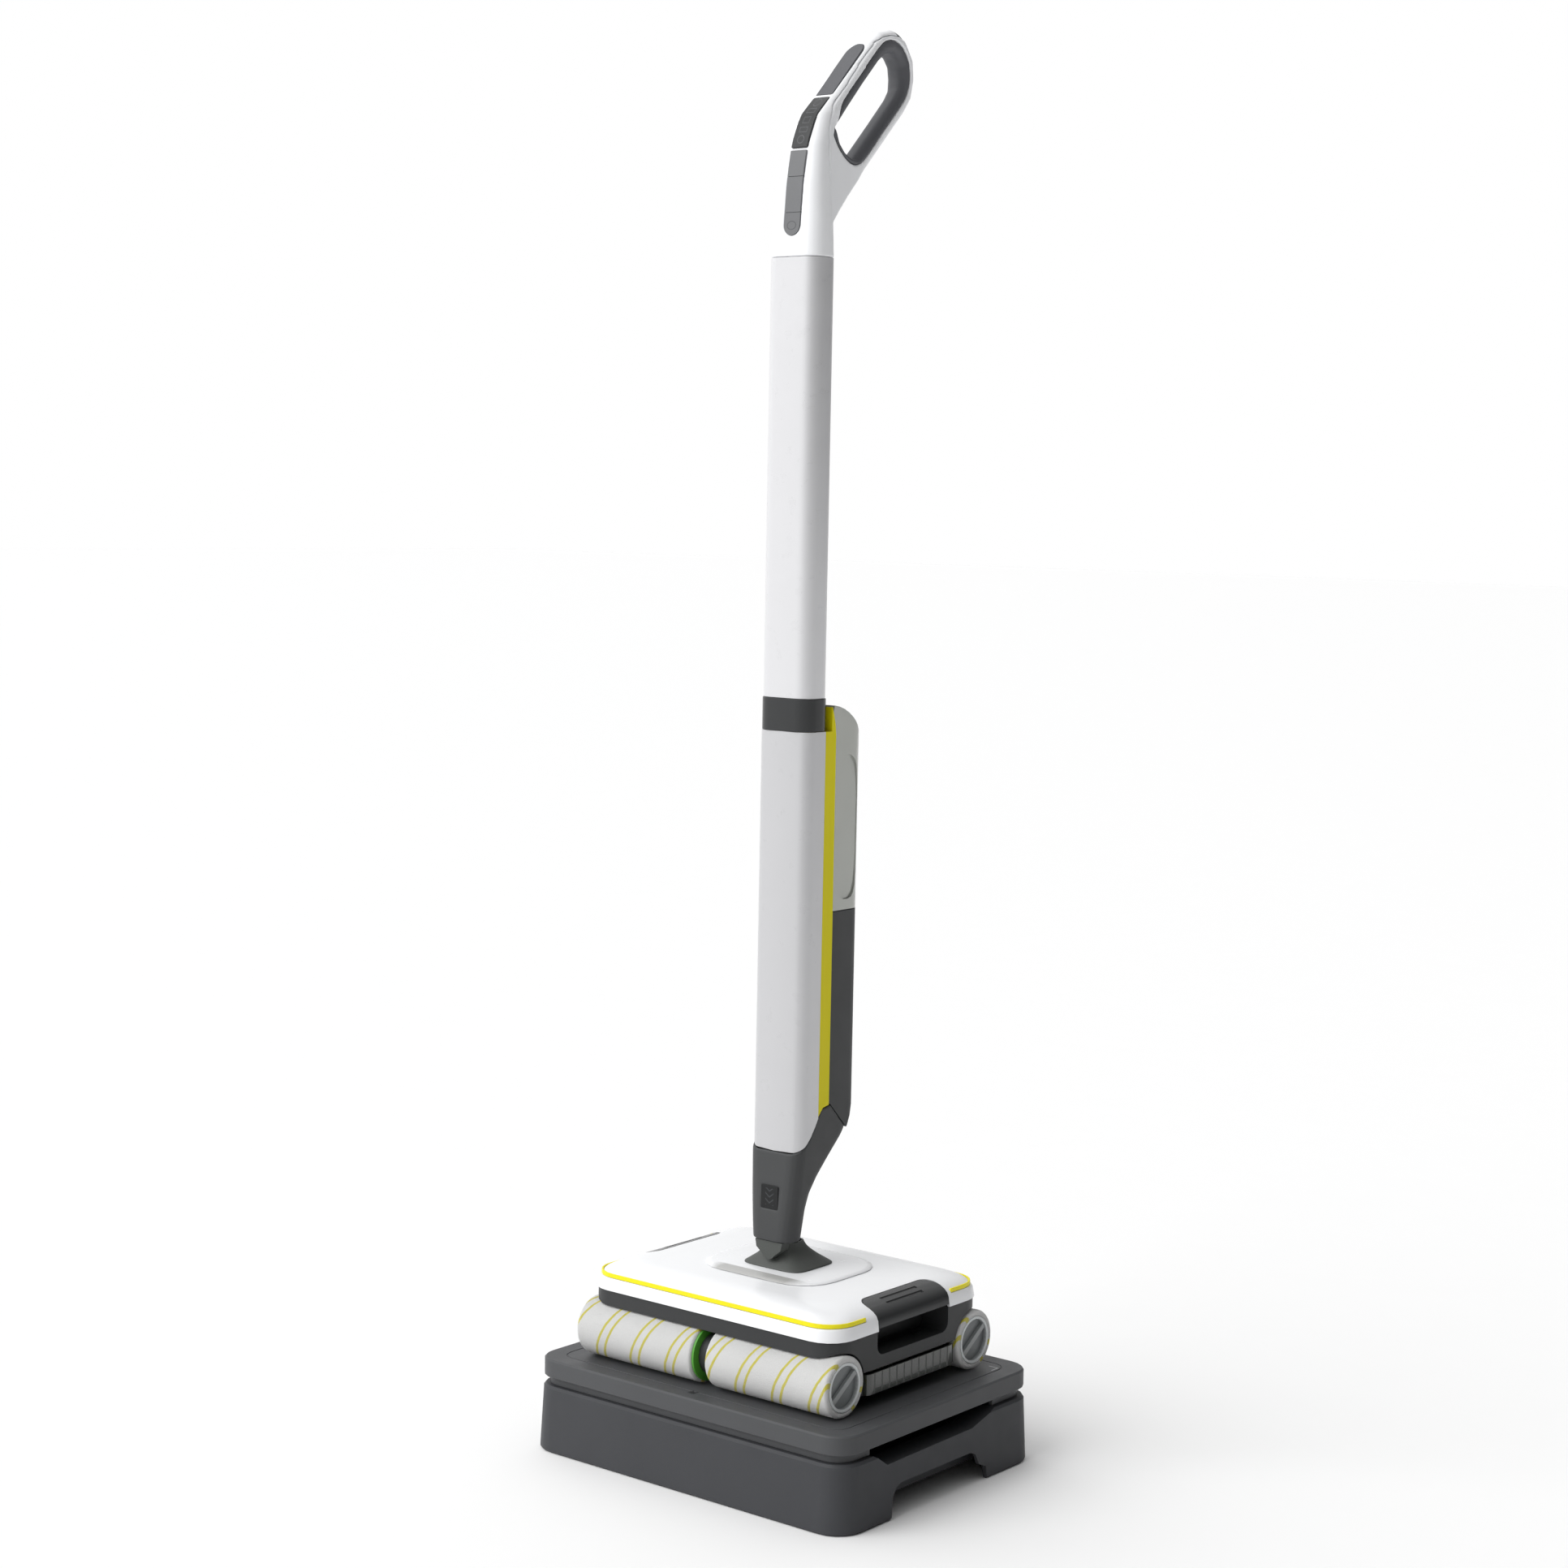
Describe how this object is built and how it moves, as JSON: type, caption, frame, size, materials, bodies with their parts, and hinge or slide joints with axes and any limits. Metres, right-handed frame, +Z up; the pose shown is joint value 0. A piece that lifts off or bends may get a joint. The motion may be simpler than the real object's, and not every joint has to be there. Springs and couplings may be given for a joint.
{
  "type": "wet and dry floor scrubber on its washing station",
  "caption": "Upright cordless floor scrubber with counter-rotating striped rollers, tilting and swivelling neck, loop handle and a tray-like washing station.",
  "frame": {"origin": "centre of the station's outline, on the floor it stands on", "axes": "+Z up; +X to the machine's left as seen facing its front, along the rollers; the front (badge and display) faces -Y"},
  "size_m": [0.374, 0.298, 1.322],
  "materials": {
    "station_plastic": "fine spark-eroded texture, satin",
    "smoked_plastic": "smoked translucent plastic, smooth",
    "dark_plastic": "fine matte texture",
    "latch_plastic": "polished dark plastic",
    "white_plastic": "glossy white",
    "silver_plastic": "satin silver paint",
    "yellow_plastic": "glossy yellow",
    "clear_plastic": "silver-grey translucent plastic",
    "dark_rubber": "soft matte rubber",
    "boot_rubber": "soft matte rubber, greenish dark grey",
    "grip_rubber": "soft-touch dark grey",
    "strip_plastic": "satin mid-grey",
    "display_plastic": "glossy dark window",
    "cap_plastic": "satin blue-grey",
    "green_plastic": "satin green",
    "microfibre": "short white pile with paired yellow bristle lines",
    "bare_steel": "turned and ground steel",
    "board_plastic": "green circuit board"
  },
  "bodies": {
    "station": {"station_tub": "station_plastic"},
    "lid": {"station_lid": "station_plastic"},
    "tank": {"dirty_water_tank": "smoked_plastic", "dirty_tank_lid": "dark_plastic", "front_scraper": "dark_rubber", "rear_scraper": "dark_rubber"},
    "head": {"chassis": "dark_plastic", "head_cover": "white_plastic", "cover_panel": "white_plastic", "front_stripe": "yellow_plastic", "rear_stripe": "yellow_plastic", "gearbox_housing": "dark_plastic", "drive_motor": "bare_steel", "front_belt": "dark_rubber", "rear_belt": "dark_rubber", "latch_pin_left": "bare_steel", "latch_pin_right": "bare_steel", "pivot_bracket": "dark_plastic", "tilt_pin": "bare_steel", "joint_boot": "boot_rubber"},
    "front_axle": {"front_drive_shaft": "bare_steel"},
    "rear_axle": {"rear_drive_shaft": "bare_steel"},
    "front_roller_left": {"front_roller_core_left": "cap_plastic", "front_roller_sleeve_left": "microfibre", "front_roller_ring": "green_plastic"},
    "front_roller_right": {"front_roller_core_right": "cap_plastic", "front_roller_sleeve_right": "microfibre"},
    "rear_roller_left": {"rear_roller_core_left": "cap_plastic", "rear_roller_sleeve_left": "microfibre", "rear_roller_ring": "green_plastic"},
    "rear_roller_right": {"rear_roller_core_right": "cap_plastic", "rear_roller_sleeve_right": "microfibre"},
    "left_latch": {"latch_left": "latch_plastic"},
    "right_latch": {"latch_right": "latch_plastic"},
    "motor_spindle": {"motor_gear": "bare_steel"},
    "reverser": {"reversing_gear": "bare_steel"},
    "knuckle": {"tilt_knuckle": "dark_plastic"},
    "upright": {"swivel_yoke": "dark_plastic", "swivel_pin": "bare_steel", "lower_housing": "dark_plastic", "chevron_badge": "latch_plastic", "body_front_shell": "silver_plastic", "spine_frame": "yellow_plastic", "rear_housing": "dark_plastic", "battery_pack": "dark_plastic", "water_pump": "dark_plastic", "main_board": "board_plastic", "collar": "latch_plastic", "upper_tube": "silver_plastic", "handle_front_shell": "white_plastic", "handle_back_shell": "white_plastic", "soft_grip": "grip_rubber", "wall_bumper": "grip_rubber", "strip_cover": "strip_plastic", "display_window": "display_plastic", "upper_grip_strip": "grip_rubber"},
    "fresh_tank": {"fresh_water_tank": "clear_plastic"},
    "cap_body": {"tank_cap": "dark_rubber"},
    "mode_key": {"mode_button": "strip_plastic"},
    "power_key": {"power_button": "strip_plastic"}
  },
  "joints": [
    {"name": "lid_lift", "type": "slide", "parent": "station", "child": "lid", "axis": [0, 0, 1], "range_m": [0, 0.12]},
    {"name": "scrubber_lift", "type": "slide", "parent": "lid", "child": "tank", "axis": [0, 0, 1], "range_m": [0, 0.3]},
    {"name": "head_lift", "type": "slide", "parent": "tank", "child": "head", "axis": [0, 0, 1], "range_m": [0, 0.15]},
    {"name": "front_axle_spin", "type": "hinge", "parent": "head", "child": "front_axle", "pos_m": [0, -0.098, 0.1156], "axis": [1, 0, 0], "continuous": true},
    {"name": "rear_axle_spin", "type": "hinge", "parent": "head", "child": "rear_axle", "pos_m": [0, 0.098, 0.1156], "axis": [1, 0, 0], "continuous": true},
    {"name": "reverser_spin", "type": "hinge", "parent": "head", "child": "reverser", "pos_m": [0, 0.028, 0.142], "axis": [1, 0, 0], "continuous": true},
    {"name": "motor_spin", "type": "hinge", "parent": "head", "child": "motor_spindle", "pos_m": [0, 0.045, 0.142], "axis": [1, 0, 0], "continuous": true},
    {"name": "front_roller_left_pull", "type": "slide", "parent": "front_axle", "child": "front_roller_left", "axis": [-1, 0, 0], "range_m": [0, 0.16]},
    {"name": "front_roller_right_pull", "type": "slide", "parent": "front_axle", "child": "front_roller_right", "axis": [1, 0, 0], "range_m": [0, 0.16]},
    {"name": "rear_roller_left_pull", "type": "slide", "parent": "rear_axle", "child": "rear_roller_left", "axis": [-1, 0, 0], "range_m": [0, 0.16]},
    {"name": "rear_roller_right_pull", "type": "slide", "parent": "rear_axle", "child": "rear_roller_right", "axis": [1, 0, 0], "range_m": [0, 0.16]},
    {"name": "left_latch_turn", "type": "hinge", "parent": "head", "child": "left_latch", "pos_m": [-0.125, 0, 0.1705], "axis": [0, 1, 0], "range_deg": [0, 10], "stiffness_Nm_per_rad": 0.6, "springref_deg": -6.88},
    {"name": "right_latch_turn", "type": "hinge", "parent": "head", "child": "right_latch", "pos_m": [0.125, 0, 0.1705], "axis": [0, -1, 0], "range_deg": [0, 10], "stiffness_Nm_per_rad": 0.6, "springref_deg": -6.88},
    {"name": "upright_tilt", "type": "hinge", "parent": "head", "child": "knuckle", "pos_m": [0, 0.003, 0.178], "axis": [-1, 0, 0], "range_deg": [0, 55], "deforming": ["joint_boot"]},
    {"name": "upright_swivel", "type": "hinge", "parent": "knuckle", "child": "upright", "pos_m": [0, 0, 0.197], "axis": [0, 1, 0], "range_deg": [-30, 30], "deforming": ["joint_boot"]},
    {"name": "fresh_tank_pull", "type": "slide", "parent": "upright", "child": "fresh_tank", "axis": [0, 1, 0], "range_m": [0, 0.12]},
    {"name": "tank_cap_pull", "type": "slide", "parent": "fresh_tank", "child": "cap_body", "axis": [0, -1, 0], "range_m": [0, 0.015]},
    {"name": "mode_key_press", "type": "slide", "parent": "upright", "child": "mode_key", "axis": [0, 0.9923, -0.124], "range_m": [0, 0.0007], "stiffness_N_per_m": 400, "springref_m": -0.001},
    {"name": "power_key_press", "type": "slide", "parent": "upright", "child": "power_key", "axis": [0, 0.9923, -0.124], "range_m": [0, 0.0007], "stiffness_N_per_m": 400, "springref_m": -0.001}
  ],
  "couplings": [
    {"joint": "rear_axle_spin", "follows": "front_axle_spin", "ratio": -1},
    {"joint": "reverser_spin", "follows": "front_axle_spin", "ratio": 2},
    {"joint": "motor_spin", "follows": "front_axle_spin", "ratio": -2}
  ]
}
